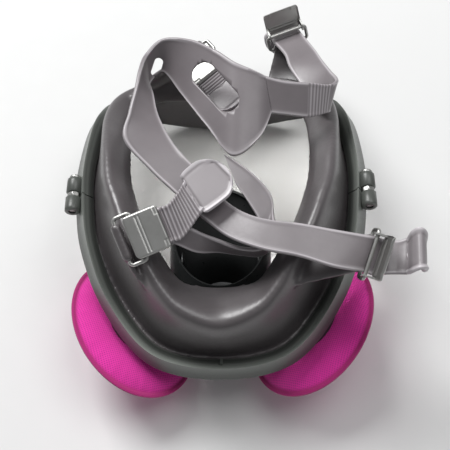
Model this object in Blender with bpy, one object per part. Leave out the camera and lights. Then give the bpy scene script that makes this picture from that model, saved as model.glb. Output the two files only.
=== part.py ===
"""Full face respirator lying face down: a two-piece frame clamps a wrap-round lens and a rubber face seal,
with a silicone nose cup, two bayonet filters and a four-strap rubber head harness.

Sizes are in millimetres and become metres in the meshes. +Y points to the forehead and +Z to the wearer.
The origin is the centre of the exhalation cover's flat front face."""

import math

import bmesh
import bpy
from mathutils import Matrix, Vector

for old in list(bpy.data.objects):
    bpy.data.objects.remove(old, do_unlink=True)

MM = 0.001
GAP = 0.3
RING_STEPS = 56
LENS_FIT = 0.6

# Lens: a cylinder about a vertical line, sloping to the forehead and folding up under the chin.
LENS_RADIUS = 100.0
LENS_THICK = 2.4
LENS_NOSE_Z = 28.0
LENS_SLOPE = -0.1375
FOLD_START_Y = 8.0
FOLD_RATE = 0.0034

# Frame: right half of the outer outline in plan, from the forehead to the chin.
SPLIT_Y = 59.5
OUTLINE = [(0, 161), (28, 160.5), (50, 158), (68, 150.5), (77, 141), (82, 128), (84.5, 115), (86, 95),
           (86.5, 76),
           (85.5, 59.5), (82.5, 35), (77, 15.5), (71, 1), (62, -14), (50, -29), (37.5, -38),
           (20, -42.8), (0, -44)]
FRAME_WALL = 3.2
FRAME_REACH = 7.0
FRAME_FRONT = 2.0
FRAME_BACK = 2.2
FRAME_OUTER_FRONT = 5.2
FRAME_OUTER_BACK = 7.4
SPLIT_GAP = 0.6
BOSS_RADIUS = 4.6
BOSS_OUT = 2.4
BOSS_RISE = 3.0
BOSS_LENGTH = 9.5
BOSS_GAP = 3.2
SCREW_RADIUS = 1.9
SCREW_HEAD_RADIUS = 3.5
SCREW_HEAD_HEIGHT = 2.4
NUT_RADIUS = 3.8

# Face seal: right halves of the crest, where it turns inwards, and of its free inner edge.
SEAL_THICK = 2.4
LIP_THICK = 2.6
LIP_IN = 12.0
CREST = [(0, 157, 54), (30, 156.5, 55), (50, 152, 57), (64, 142, 61), (70.5, 129, 66), (71.5, 112, 74),
         (70, 97, 81), (67.5, 78, 88), (64.5, 58, 93), (59.5, 43, 96), (52, 22.5, 97), (40.5, 2, 95),
         (32, -11.5, 90), (21, -22, 85), (0, -28.5, 81)]
FLANGE = [(0, 146, 45), (28, 146, 45.5), (43, 143.5, 47), (51, 131, 53), (53.5, 115, 62),
          (54, 100, 69.5),
          (54, 85, 75), (52, 64, 80), (48, 48, 82.5), (43.5, 35, 83), (36, 20, 81), (23, 1.5, 75.5),
          (11, -1.6, 72.5), (0, -2.2, 71.5)]

# Exhalation adapter on the origin's vertical axis.
ADAPTER_BORE = 14.0
ADAPTER_RADIUS = 16.7
ADAPTER_FRONT_Z = 9.5
ADAPTER_INSIDE = 9.0
FLANGE_REACH = 6.8
GASKET_THICK = 1.6
FLANGE_THICK = 2.2
RING_THICK = 3.0
COVER_SIDE_WALL = 2.2
COVER_FRONT_WALL = 2.0
COVER_TOP_Z = 14.0
COVER_SLOTS = 8
SEAT_Z = 15.0
SEAT_THICK = 1.8
VALVE_RADIUS = 12.4
VALVE_THICK = 1.2
VALVE_STEM = 1.5

# Side ports and filters. The axis leaves the lens outwards and forwards; x is mirrored on the left.
PORT_X = 41.2
PORT_Y = -1.2
PORT_AXIS = Vector((0.46, -0.22, -0.86)).normalized()
PORT_BORE = 11.5
PORT_RADIUS = 14.0
PORT_IN = 5.8
SPOKE_IN = 3.4
SPOKE_RADIUS = 0.8
PORT_OUT = 8.5
PORT_FLANGE = 16.8
INHALE_RADIUS = 10.6
INHALE_THICK = 0.8
BASE_THICK = 2.2
BASE_RADIUS = 24.0
PAD_CENTRE = 17.5
PAD_SHIFT = 6.0
PAD_LONG = 48.0
PAD_SHORT = 38.5
PAD_HALF = 8.0
PAD_LONG_AXIS = Vector((0.36, 0.93, 0.0))

# Nose cup
CUP_WALL = 2.0
CUP_VALVE_RADIUS = 7.0
CUP_VALVE_THICK = 0.9

# Harness and buckles
STRAP_THICK = 2.0
STRAP_WIDTH = 20.0
WIRE = 1.1
RING_HALF = 13.4
HEM_L = -9.5
HEM_OUTER = 3.3
PLATE_THICK = 1.2
PLATE_HALF = 12.0
PLATE_UNDER = 4.2
PLATE_END = 15.0


def material(name, colour, roughness, metallic=0.0, alpha=1.0):
    made = bpy.data.materials.new(name)
    made.use_nodes = True
    shader = made.node_tree.nodes["Principled BSDF"]
    shader.inputs["Base Color"].default_value = (*colour, 1.0)
    shader.inputs["Roughness"].default_value = roughness
    shader.inputs["Metallic"].default_value = metallic
    shader.inputs["Alpha"].default_value = alpha
    return made


FRAME_PLASTIC = material("frame_plastic", (0.055, 0.065, 0.055), 0.5)
SEAL_RUBBER = material("seal_rubber", (0.115, 0.1, 0.105), 0.55)
HARNESS_RUBBER = material("harness_rubber", (0.24, 0.215, 0.235), 0.6)
BLACK_SILICONE = material("black_silicone", (0.02, 0.022, 0.022), 0.4)
CLEAR_LENS = material("clear_lens", (0.9, 0.92, 0.9), 0.08, alpha=0.35)
STEEL = material("steel", (0.62, 0.62, 0.6), 0.3, metallic=1.0)
FILTER_CLOTH = material("filter_cloth", (0.72, 0.02, 0.36), 0.85)
DARK_PLASTIC = material("dark_plastic", (0.03, 0.032, 0.034), 0.45)


def add(name, points, faces, look, pivot=(0, 0, 0)):
    """A smooth-shaded object with its origin at pivot, from world points in millimetres."""
    origin = Vector(pivot)
    mesh = bpy.data.meshes.new(name)
    mesh.from_pydata([(Vector(p) - origin) * MM for p in points], [], faces)
    work = bmesh.new()
    work.from_mesh(mesh)
    bmesh.ops.remove_doubles(work, verts=work.verts, dist=1e-6)
    bmesh.ops.delete(work, geom=[edge for edge in work.edges if not edge.link_faces], context="EDGES")
    bmesh.ops.recalc_face_normals(work, faces=work.faces)
    work.to_mesh(mesh)
    work.free()
    mesh.shade_smooth()
    mesh.set_sharp_from_angle(angle=math.radians(35))
    mesh.materials.append(look)
    made = bpy.data.objects.new(name, mesh)
    made.location = origin * MM
    bpy.context.scene.collection.objects.link(made)
    return made


def tube(name, loops, look, closed, pivot=(0, 0, 0), sheet=False):
    """A solid from equal loops of points. The last loop meets the first, or both ends are capped,
    with a strip across where each loop runs out along one skin of a sheet and back along the other."""
    count = len(loops[0])
    points = [p for loop in loops for p in loop]
    spans = len(loops) if closed else len(loops) - 1
    faces = []
    for i in range(spans):
        here = i * count
        there = (i + 1) % len(loops) * count
        for j in range(count):
            k = (j + 1) % count
            faces.append((here + j, here + k, there + k, there + j))
    for start, way in ((0, -1), (spans * count, 1)) if not closed else ():
        if sheet:
            for j in range(count // 2 - 1):
                faces.append((start + j, start + j + 1, start + count - 2 - j,
                              start + count - 1 - j)[::way])
        else:
            faces.append(tuple(range(start, start + count))[::way])
    return add(name, points, faces, look, pivot)


def basis(axis, across=Vector((0, 0, 1))):
    """Two unit vectors square to axis, the first as near to across as can be."""
    first = across - axis * across.dot(axis)
    if first.length < 1e-3:
        first = Vector((1, 0, 0)) - axis * axis.x
    first.normalize()
    return first, axis.cross(first)


def turned(name, profile, centre, axis, look, steps=36, pivot=None):
    """A closed profile of (radius, distance along axis) turned about the axis."""
    first, second = basis(axis)
    loops = []
    for step in range(steps):
        turn = 2 * math.pi * step / steps
        out = first * math.cos(turn) + second * math.sin(turn)
        loops.append([centre + out * r + axis * h for r, h in profile])
    return tube(name, loops, look, True, centre if pivot is None else pivot)


def boolean(target, tool, operation, solver="EXACT"):
    tool.hide_render = True
    tool.display_type = "WIRE"
    step = target.modifiers.new(operation.lower(), "BOOLEAN")
    step.operation = operation
    step.solver = solver
    step.object = tool


def rod(name, start, end, radius, look=STEEL, steps=20):
    axis = (end - start).normalized()
    length = (end - start).length
    return turned(name, [(0, 0), (radius, 0), (radius, length), (0, length)], start, axis, look, steps)


def spline(points, per, closed=False):
    """Catmull-Rom points through vectors of any size, per of them for each span."""
    made = []
    count = len(points)
    spans = count if closed else count - 1
    for i in range(spans):
        if closed:
            p = [points[(i + k) % count] for k in (-1, 0, 1, 2)]
        else:
            p = [points[max(0, min(count - 1, i + k))] for k in (-1, 0, 1, 2)]
        for step in range(per):
            t = step / per
            made.append([0.5 * (2 * b + (c - a) * t + (2 * a - 5 * b + 4 * c - d) * t * t
                                + (3 * b - a - 3 * c + d) * t ** 3) for a, b, c, d in zip(*p)])
    if not closed:
        made.append(list(points[-1]))
    return made


def around(half):
    """A closed curve through right-hand points and their mirror images, as (angle, point) pairs."""
    ring = [list(p) for p in half] + [[-p[0], *p[1:]] for p in reversed(half) if p[0] != 0]
    made = []
    for p in spline(ring, 24, closed=True):
        made.append((math.atan2(p[1] - SPLIT_Y, p[0]) % (2 * math.pi), p))
    return sorted(made, key=lambda pair: pair[0])


def at_angle(curve, angle):
    """The point where the curve crosses the ray at this angle from the split line's centre."""
    turn = angle % (2 * math.pi)
    after = next((i for i, pair in enumerate(curve) if pair[0] > turn), 0)
    low, high = curve[after - 1], curve[after]
    span = (high[0] - low[0]) % (2 * math.pi)
    share = (turn - low[0]) % (2 * math.pi) / span
    return Vector([a + (b - a) * share for a, b in zip(low[1], high[1])])


def lens_height(x, y):
    fold = max(0.0, FOLD_START_Y - y)
    side = min(abs(x), LENS_RADIUS - 2)
    return (LENS_NOSE_Z + LENS_SLOPE * y + FOLD_RATE * fold ** 2
            + LENS_RADIUS - math.sqrt(LENS_RADIUS ** 2 - side ** 2))


def lens_normal(x, y):
    step = 0.05
    slope_x = (lens_height(x + step, y) - lens_height(x - step, y)) / (2 * step)
    slope_y = (lens_height(x, y + step) - lens_height(x, y - step)) / (2 * step)
    return Vector((-slope_x, -slope_y, 1)).normalized()


def lens_point(x, y, offset=0.0):
    """A point off the lens's middle surface, towards the wearer where offset is positive."""
    return Vector((x, y, lens_height(x, y))) + lens_normal(x, y) * offset


OUTLINE_CURVE = around(OUTLINE)
CREST_CURVE = around(CREST)
FLANGE_CURVE = around(FLANGE)


def rim_point(angle, inset, offset):
    """A point at this inset from the frame's outer outline, along the lens, and this far off the lens."""
    here = at_angle(OUTLINE_CURVE, angle)
    along = (at_angle(OUTLINE_CURVE, angle + 0.02) - at_angle(OUTLINE_CURVE, angle - 0.02)).normalized()
    inward = -Vector((math.cos(angle), math.sin(angle)))
    square = abs(along.cross(inward))
    rise = (lens_height(*(here + inward)) - lens_height(*here)) * square
    flat = here + inward * inset / (square * math.sqrt(1 + rise ** 2))
    return lens_point(flat.x, flat.y, offset)


def angles(count, start=0.0, end=2 * math.pi, closed=True):
    steps = count if closed else count - 1
    return [start + (end - start) * i / steps for i in range(count)]


# Lens shell
LENS_INSET = FRAME_WALL + GAP


def lens_loop(angle, offset):
    edge = rim_point(angle, LENS_INSET, 0)
    centre = Vector((0, SPLIT_Y))
    loop = []
    for share in (0.2, 0.37, 0.52, 0.66, 0.78, 0.89, 1.0):
        flat = centre.lerp(edge.xy, share)
        loop.append(lens_point(flat.x, flat.y, offset))
    return loop


def make_lens():
    half = LENS_THICK / 2
    loops = []
    for angle in angles(RING_STEPS):
        crown = [lens_point(0, SPLIT_Y, half)] + lens_loop(angle, half)
        front = lens_loop(angle, -half)[::-1] + [lens_point(0, SPLIT_Y, -half)]
        loops.append(crown + front)
    return tube("lens", loops, CLEAR_LENS, True)


LIP_LOW = LENS_THICK / 2 + GAP
LIP_HIGH = LIP_LOW + LIP_THICK


def frame_section(angle):
    """The frame's channel: it holds the lens's edge and the seal's lip between two flanges."""
    edge = rim_point(angle, 0, 0)
    rise = (lens_normal(edge.x, edge.y) + Vector((0, 0, 1))).normalized()
    low = -LIP_LOW
    high = LIP_HIGH + GAP
    return [edge - rise * FRAME_OUTER_FRONT,
            rim_point(angle, FRAME_REACH, low - FRAME_FRONT),
            rim_point(angle, FRAME_REACH, low),
            rim_point(angle, FRAME_WALL, low),
            rim_point(angle, FRAME_WALL, high),
            rim_point(angle, FRAME_REACH, high),
            rim_point(angle, FRAME_REACH, high + FRAME_BACK),
            edge + rise * FRAME_OUTER_BACK]


def boss_centre(side):
    edge = rim_point(0, 0, 0)
    return Vector((side * (edge.x + BOSS_OUT), SPLIT_Y, edge.z + BOSS_RISE))


def make_frame_half(name, start, upward):
    """Half of the frame from this angle, with a boss and a screw hole at each end."""
    slack = SPLIT_GAP / 2 / OUTLINE[9][0]
    turns = [start + 2 * math.pi * i / RING_STEPS for i in range(RING_STEPS // 2 + 1)]
    turns[0] += slack
    turns[-1] -= slack
    half = tube(name, [frame_section(a) for a in turns], FRAME_PLASTIC, False)
    for side in (-1, 1):
        centre = boss_centre(side)
        near = Vector((0, upward * BOSS_GAP / 2, 0))
        far = Vector((0, upward * (BOSS_GAP / 2 + BOSS_LENGTH), 0))
        boss = rod(f"{name}_boss", centre + near, centre + far, BOSS_RADIUS, FRAME_PLASTIC, 24)
        boolean(half, boss, "UNION")
        beyond = far + Vector((0, upward * (SCREW_HEAD_HEIGHT + 2 * GAP), 0))
        for low, high, radius in ((-near, far * 1.1, SCREW_RADIUS), (-near, near, NUT_RADIUS),
                                  (far, beyond, SCREW_HEAD_RADIUS)):
            hole = rod(f"{name}_hole", centre + low, centre + high, radius + GAP, FRAME_PLASTIC)
            boolean(half, hole, "DIFFERENCE")
    return half


def make_frame_screw(side, name):
    """A pan-head screw down through the upper boss, the nut and the lower boss."""
    centre = boss_centre(side)
    head = BOSS_GAP / 2 + BOSS_LENGTH + GAP
    profile = [(0, -head + 1), (SCREW_RADIUS, -head + 1), (SCREW_RADIUS, head),
               (SCREW_HEAD_RADIUS, head),
               (SCREW_HEAD_RADIUS, head + SCREW_HEAD_HEIGHT * 0.6),
               (SCREW_HEAD_RADIUS * 0.7, head + SCREW_HEAD_HEIGHT), (0, head + SCREW_HEAD_HEIGHT)]
    turned(f"frame_screw_{name}", profile, centre, Vector((0, 1, 0)), STEEL, 32)


def make_frame_nut(side, name):
    half = BOSS_GAP / 2 - GAP
    inner = SCREW_RADIUS + GAP
    profile = [(inner, -half), (NUT_RADIUS, -half), (NUT_RADIUS, half), (inner, half)]
    turned(f"frame_nut_{name}", profile, boss_centre(side), Vector((0, 1, 0)), STEEL, 6 * 4)


def seal_line(angle):
    """The middle line of the seal's section, from its clamped lip over the crest to its free edge."""
    lift = LIP_LOW + LIP_THICK / 2
    lip = rim_point(angle, LENS_INSET, lift)
    root = rim_point(angle, LIP_IN, lift)
    crest = at_angle(CREST_CURVE, angle)
    edge = at_angle(FLANGE_CURVE, angle)
    outward = Vector((math.cos(angle), math.sin(angle), 0))
    wall = root.lerp(crest, 0.5) + outward * 0.3
    tuck = crest.lerp(edge, 0.5) + Vector((0, 0, 2.0)) - outward * 1.0
    bend = root + (Vector((0, 0, 1)) - outward) * 1.6
    line = spline([list(p) for p in (bend, wall, crest, tuck, edge)], 2)
    return [lip, lip.lerp(root, 0.5), root] + [Vector(p) for p in line]


def thick_grid(grid, half, closed_rows):
    """Both skins of a sheet given as rows of points, as closed loops around each row."""
    rows = len(grid)
    columns = len(grid[0])
    loops = []
    for i in range(rows):
        upper = []
        lower = []
        for j in range(columns):
            if closed_rows:
                along = grid[(i + 1) % rows][j] - grid[i - 1][j]
            else:
                along = grid[min(i + 1, rows - 1)][j] - grid[max(i - 1, 0)][j]
            across = grid[i][min(j + 1, columns - 1)] - grid[i][max(j - 1, 0)]
            normal = along.cross(across).normalized()
            upper.append(grid[i][j] + normal * half)
            lower.append(grid[i][j] - normal * half)
        loops.append(upper + lower[::-1])
    return loops


SEAL_GRID = [seal_line(a) for a in angles(RING_STEPS)]


def make_seal():
    return tube("face_seal", thick_grid(SEAL_GRID, SEAL_THICK / 2, True), SEAL_RUBBER, True)


def conformal_ring(name, centre, axis, inner, outer, low, high, look, steps=32):
    """A ring about an axis through the lens, with both faces following the lens at these offsets."""
    first, second = basis(axis)
    loops = []
    for turn in angles(steps):
        out = first * math.cos(turn) + second * math.sin(turn)
        loop = []
        for radius, offset in ((inner, low), (outer, low), (outer, high), (inner, high)):
            start = centre + out * radius
            slide = 0.0
            for _ in range(12):
                p = start + axis * slide
                here = lens_point(p.x, p.y, offset)
                miss = (here - p).dot(lens_normal(p.x, p.y))
                slide += miss / axis.dot(lens_normal(p.x, p.y))
            loop.append(start + axis * slide)
        loops.append(loop)
    return tube(name, loops, look, True, centre)


HALF = LENS_THICK / 2
GASKET_LOW = -(HALF + LENS_FIT + GASKET_THICK)
FLANGE_LOW = GASKET_LOW - GAP - FLANGE_THICK
UP = Vector((0, 0, 1))


def make_adapter(lens):
    """The tube through the lens at the mouth, clamped to it by a ring behind a gasket."""
    centre = Vector((0, 0, LENS_NOSE_Z))
    hole = rod("adapter_hole", Vector((0, 0, 0)), Vector((0, 0, 60)), ADAPTER_RADIUS + GAP, CLEAR_LENS,
               40)
    boolean(lens, hole, "DIFFERENCE")
    low = ADAPTER_FRONT_Z
    high = LENS_NOSE_Z + ADAPTER_INSIDE
    profile = [(ADAPTER_BORE, low), (ADAPTER_RADIUS, low), (ADAPTER_RADIUS, high), (ADAPTER_BORE, high)]
    body = turned("center_adapter", profile, Vector((0, 0, 0)), UP, DARK_PLASTIC, 40)
    flange = conformal_ring("adapter_flange", centre, UP, ADAPTER_RADIUS - 1,
                            ADAPTER_RADIUS + FLANGE_REACH, FLANGE_LOW,
                            GASKET_LOW - GAP, DARK_PLASTIC, 40)
    boolean(body, flange, "UNION")
    inner = ADAPTER_RADIUS + GAP
    conformal_ring("adapter_gasket", centre, UP, inner, ADAPTER_RADIUS + FLANGE_REACH, GASKET_LOW,
                   -HALF - LENS_FIT,
                   BLACK_SILICONE)
    low = HALF + LENS_FIT
    conformal_ring("adapter_ring", centre, UP, inner, ADAPTER_RADIUS + FLANGE_REACH, low,
                   low + RING_THICK, DARK_PLASTIC)


def make_exhalation_valve():
    """A spoked seat inside the adapter, with a silicone flap that lifts off it to let breath out."""
    profile = [(0, SEAT_Z), (ADAPTER_BORE - GAP, SEAT_Z), (ADAPTER_BORE - GAP, SEAT_Z + SEAT_THICK),
               (0, SEAT_Z + SEAT_THICK)]
    seat = turned("exhalation_valve_seat", profile, Vector((0, 0, 0)), UP, DARK_PLASTIC, 36)
    stem_hole = rod("stem_hole", Vector((0, 0, 0)), Vector((0, 0, 30)), VALVE_STEM + GAP, DARK_PLASTIC)
    boolean(seat, stem_hole, "DIFFERENCE", "MANIFOLD")
    for turn in angles(6):
        spot = Vector((math.cos(turn), math.sin(turn), 0)) * VALVE_RADIUS * 0.58
        port = rod("seat_port", spot, spot + UP * 30, 2.9, DARK_PLASTIC, 10)
        boolean(seat, port, "DIFFERENCE", "MANIFOLD")
    top = SEAT_Z - GAP
    flap = top - VALVE_THICK
    stem_top = SEAT_Z + SEAT_THICK + 2
    profile = [(0, flap), (VALVE_RADIUS, flap), (VALVE_RADIUS, top), (VALVE_STEM, top),
               (VALVE_STEM, stem_top),
               (0, stem_top)]
    turned("exhalation_valve", profile, Vector((0, 0, 0)), UP, BLACK_SILICONE, 36)


def make_exhalation_cover():
    """A slotted cap that pushes onto the adapter's front end. Its flat front face carries the mask."""
    inner = ADAPTER_RADIUS + GAP
    outer = inner + COVER_SIDE_WALL
    front = COVER_FRONT_WALL
    profile = [(0, 0), (outer - 1, 0), (outer, 1), (outer, COVER_TOP_Z), (inner, COVER_TOP_Z),
               (inner, front),
               (0, front)]
    cover = turned("exhalation_cover", profile, Vector((0, 0, 0)), UP, DARK_PLASTIC, 40)
    for turn in angles(COVER_SLOTS):
        out = Vector((math.cos(turn), math.sin(turn), 0))
        start = out * (inner - 3) + UP * (front + 3)
        slot = rod("cover_slot", start, start + out * 12, 2.0, DARK_PLASTIC, 8)
        boolean(cover, slot, "DIFFERENCE")


def mirrored(vector, side):
    return Vector((vector.x * side, vector.y, vector.z))


def port_centre(side):
    return Vector((side * PORT_X, PORT_Y, lens_height(PORT_X, PORT_Y)))


def make_port(lens, side, name):
    """A bayonet tube through the lens, with its gasket and its inhalation flap."""
    centre = port_centre(side)
    axis = mirrored(PORT_AXIS, side)
    hole = rod("port_hole", centre - axis * 30, centre + axis * 30, PORT_RADIUS + GAP, CLEAR_LENS, 48)
    boolean(lens, hole, "DIFFERENCE")
    profile = [(PORT_BORE, -PORT_IN), (PORT_RADIUS, -PORT_IN), (PORT_RADIUS, PORT_OUT),
               (PORT_BORE, PORT_OUT)]
    body = turned(f"side_port_{name}", profile, centre, axis, DARK_PLASTIC, 36)
    flange = conformal_ring("port_flange", centre, axis, PORT_RADIUS - 1, PORT_FLANGE, FLANGE_LOW,
                            GASKET_LOW - GAP, DARK_PLASTIC)
    boolean(body, flange, "UNION")
    hub = centre - axis * SPOKE_IN
    rib = rod("port_rib", hub - axis, hub + axis, 1.2, DARK_PLASTIC, 12)
    boolean(body, rib, "UNION")
    for turn in angles(3):
        first, second = basis(axis)
        out = first * math.cos(turn) + second * math.sin(turn)
        spoke = rod("port_spoke", hub, hub + out * (PORT_BORE + 1), SPOKE_RADIUS, DARK_PLASTIC, 12)
        boolean(body, spoke, "UNION")
    conformal_ring(f"port_gasket_{name}", centre, axis, PORT_RADIUS + GAP, PORT_FLANGE, GASKET_LOW,
                   -HALF - LENS_FIT, BLACK_SILICONE)
    top = -SPOKE_IN - 1 - GAP
    flap = [(0, top - INHALE_THICK), (INHALE_RADIUS, top - INHALE_THICK), (INHALE_RADIUS, top),
            (0, top)]
    turned(f"inhalation_valve_{name}", flap, centre, axis, BLACK_SILICONE, 32)


def make_filter(side, name):
    """An oval cloth pancake on a stiff bayonet base that turns onto the port's front end."""
    axis = mirrored(PORT_AXIS, side)
    centre = port_centre(side)
    low = PORT_OUT + GAP
    base = [(0, low), (BASE_RADIUS, low), (BASE_RADIUS, low + BASE_THICK), (0, low + BASE_THICK)]
    plate = turned(f"filter_base_{name}", base, centre, axis, DARK_PLASTIC, 40)
    bore = rod("base_bore", centre, centre + axis * 40, PORT_BORE - 2, DARK_PLASTIC, 32)
    boolean(plate, bore, "DIFFERENCE")
    long_axis, short_axis = basis(axis, mirrored(PAD_LONG_AXIS, side))
    pad_centre = centre + axis * PAD_CENTRE + short_axis * PAD_SHIFT * side
    back = low + BASE_THICK + GAP - PAD_CENTRE
    shape = [(0.001, back), (0.62, back), (0.85, back * 0.62), (0.96, -1.6), (1.0, -1.2), (1.0, 1.2),
             (0.96, 1.6),
             (0.85, PAD_HALF * 0.66), (0.62, PAD_HALF * 0.95), (0.3, PAD_HALF), (0.001, PAD_HALF)]
    loops = []
    for turn in angles(40):
        out = long_axis * PAD_LONG * math.cos(turn) + short_axis * PAD_SHORT * math.sin(turn)
        loops.append([pad_centre + (out * share if share > 0.01 else Vector()) + axis * h for share,
                      h in shape])
    tube(f"filter_pad_{name}", loops, FILTER_CLOTH, True, pad_centre)


# Nose cup: centre y, half-width, half-length, height above the lens and tilt of each loop.
CUP_LOOPS = [(1, 24.5, 24.5, 17, 0), (8, 27, 28, 25, 0.03), (20, 28.5, 32, 33, 0.06),
             (29, 28, 32, 39, 0.06),
             (31, 26.5, 30.5, 42, 0.06)]


def make_nose_cup():
    """A silicone cup seated on the adapter and open to the wearer's nose and mouth."""
    seat_radius = ADAPTER_RADIUS + 3 * GAP + CUP_WALL / 2
    lift = HALF + LENS_FIT + RING_THICK + 2 * GAP + CUP_WALL / 2
    grid = []
    for turn in angles(36):
        out = Vector((math.cos(turn), math.sin(turn)))
        flat = out * seat_radius
        line = [lens_point(flat.x, flat.y) + UP * lift / lens_normal(flat.x, flat.y).z]
        for y, half_x, half_y, z, tilt in CUP_LOOPS:
            p = Vector((out.x * half_x, y + out.y * half_y, 0))
            line.append(Vector((p.x, p.y, LENS_NOSE_Z + z + (p.y - y) * tilt)))
        smooth = spline([list(p) for p in line], 2)
        grid.append([Vector(p) for p in smooth])
    cup = tube("nose_cup", thick_grid(grid, CUP_WALL / 2, True), BLACK_SILICONE, True)
    hole = rod("cup_valve_hole", CUP_VALVE_SPOT[0], CUP_VALVE_SPOT[1], CUP_VALVE_RADIUS - 2,
               BLACK_SILICONE, 24)
    boolean(cup, hole, "DIFFERENCE")


CUP_VALVE_Y = 18.0
CUP_VALVE_Z = LENS_NOSE_Z + 32.0
CUP_VALVE_X = 22.5
CUP_VALVE_SPOT = (Vector((-40, CUP_VALVE_Y, CUP_VALVE_Z)), Vector((40, CUP_VALVE_Y, CUP_VALVE_Z)))


def make_cup_valve(side, name):
    """A thin flap inside the cup's cheek, on a peg that stands in the cup's hole."""
    centre = Vector((side * CUP_VALVE_X, CUP_VALVE_Y, CUP_VALVE_Z))
    thick = CUP_VALVE_THICK
    profile = [(0, -6.5), (1.2, -6.5), (1.2, 0), (CUP_VALVE_RADIUS, 0), (CUP_VALVE_RADIUS, thick),
               (0, thick)]
    turned(f"nose_cup_valve_{name}", profile, centre, Vector((-side, 0, 0)), BLACK_SILICONE, 32)


def ribbon(name, stations, thick, look, per=6, pivot=(0, 0, 0)):
    """A flat strap between two smooth edges, given as pairs of edge points."""
    lines = spline([[*a, *b] for a, b in stations], per)
    rows = [(Vector(p[:3]), Vector(p[3:])) for p in lines]
    loops = []
    for i, (a, b) in enumerate(rows):
        ahead = rows[min(i + 1, len(rows) - 1)]
        behind = rows[max(i - 1, 0)]
        along = (ahead[0] + ahead[1] - behind[0] - behind[1]).normalized()
        width = (b - a).normalized()
        normal = along.cross(width).normalized()
        soft = min(0.5, (b - a).length / 4)
        half = thick / 2
        loops.append([a + normal * (half - soft), a + width * soft + normal * half,
                      b - width * soft + normal * half, b + normal * (half - soft),
                      b - normal * (half - soft), b - width * soft - normal * half,
                      a + width * soft - normal * half, a - normal * (half - soft)])
    return tube(name, loops, look, False, pivot)


class Buckle:
    """Axes of one buckle: along the strap's free end, across it, and out of its plate."""

    def __init__(self, name, bar, along, out, rear):
        self.name = name
        self.rear = rear
        self.bar = Vector(bar)
        self.l = Vector(along).normalized()
        self.n = (Vector(out) - self.l * Vector(out).dot(self.l)).normalized()
        self.w = self.n.cross(self.l)

    def at(self, l, w, n):
        return self.bar + self.l * l + self.w * w + self.n * n

    def edges(self, l, n, width=STRAP_WIDTH):
        return self.at(l, -width / 2, n), self.at(l, width / 2, n)


# Each buckle: the ring bar that the strap passes, the directions of its strap and of its plate, and how far
# the plate runs back past that bar.
BUCKLES = {
    "lower_left": Buckle("lower_left", (-42, 13, 107), (0.926, 0.336, 0.144), (0.033, -0.468, 0.883),
                         4.8),
    "lower_right": Buckle("lower_right", (80.6, 0.8, 105), (0.14, -0.493, 0.853), (0.93, -0.22, -0.28),
                          1.4),
    "upper_left": Buckle("upper_left", (-13, 146, 86), (0.58, -0.8, 0), (0.033, -0.468, 0.883), 4.8),
    "upper_right": Buckle("upper_right", (44, 185, 68.2), (-0.215, 0.28, 0.927), (-0.25, 0.9, -0.33),
                          1.4),
}


def make_buckle(buckle):
    """A wire ring through the lug's hem, and a stamped plate that pivots on the ring's strap bar."""
    corners = [(0, -RING_HALF), (0, RING_HALF), (HEM_L, RING_HALF), (HEM_L, -RING_HALF)]
    ring = []
    for i, (l, w) in enumerate(corners):
        for turn in (-45, 0, 45):
            toward = [Vector(corners[(i + 1) % 4]) - Vector((l, w)),
                      Vector(corners[i - 1]) - Vector((l, w))]
            heart = Vector((l, w)) + (toward[0].normalized() + toward[1].normalized()) * WIRE * 1.4
            corner = Vector((l, w)) - heart
            spin = Matrix.Rotation(math.radians(turn), 2)
            spot = heart + spin @ corner.normalized() * WIRE * 1.4
            ring.append(spot)
    loops = []
    count = len(ring)
    for i, spot in enumerate(ring):
        along = (ring[(i + 1) % count] - ring[i - 1]).normalized()
        side = buckle.l * along.y - buckle.w * along.x
        loop = []
        for turn in angles(8):
            offset = side * math.cos(turn) * WIRE + buckle.n * math.sin(turn) * WIRE
            loop.append(buckle.at(spot.x, spot.y, 0) + offset)
        loops.append(loop)
    tube(f"buckle_ring_{buckle.name}", loops, STEEL, True, buckle.bar)
    make_lever(buckle)


def make_lever(buckle):
    high = PLATE_UNDER + PLATE_THICK
    back = -buckle.rear
    outline = [(back, PLATE_UNDER - 0.5), (back + 1.5, PLATE_UNDER), (PLATE_END - 2, PLATE_UNDER),
               (PLATE_END, PLATE_UNDER - 0.6), (PLATE_END, high - 0.8), (PLATE_END - 2, high),
               (back + 1.5, high),
               (back, high - 0.6)]
    loops = []
    for w in (-PLATE_HALF, -PLATE_HALF + 1, PLATE_HALF - 1, PLATE_HALF):
        loops.append([buckle.at(l, w, n) for l, n in outline])
    lever = tube(f"buckle_lever_{buckle.name}", loops, STEEL, False, buckle.bar)
    for side in (-1, 1):
        inner = side * (PLATE_HALF - 1.2)
        outer = side * PLATE_HALF
        ear = [(-2.3, -2.6), (3, -2.6), (4.5, PLATE_UNDER + 0.5), (-2.3, PLATE_UNDER + 0.5)]
        plate = tube("lever_ear", [[buckle.at(l, w, n) for l, n in ear] for w in (inner, outer)], STEEL,
                     False)
        boolean(lever, plate, "UNION")
    hole = rod("lever_hole", buckle.at(0, -20, 0), buckle.at(0, 20, 0), WIRE + GAP, STEEL)
    boolean(lever, hole, "DIFFERENCE")


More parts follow.
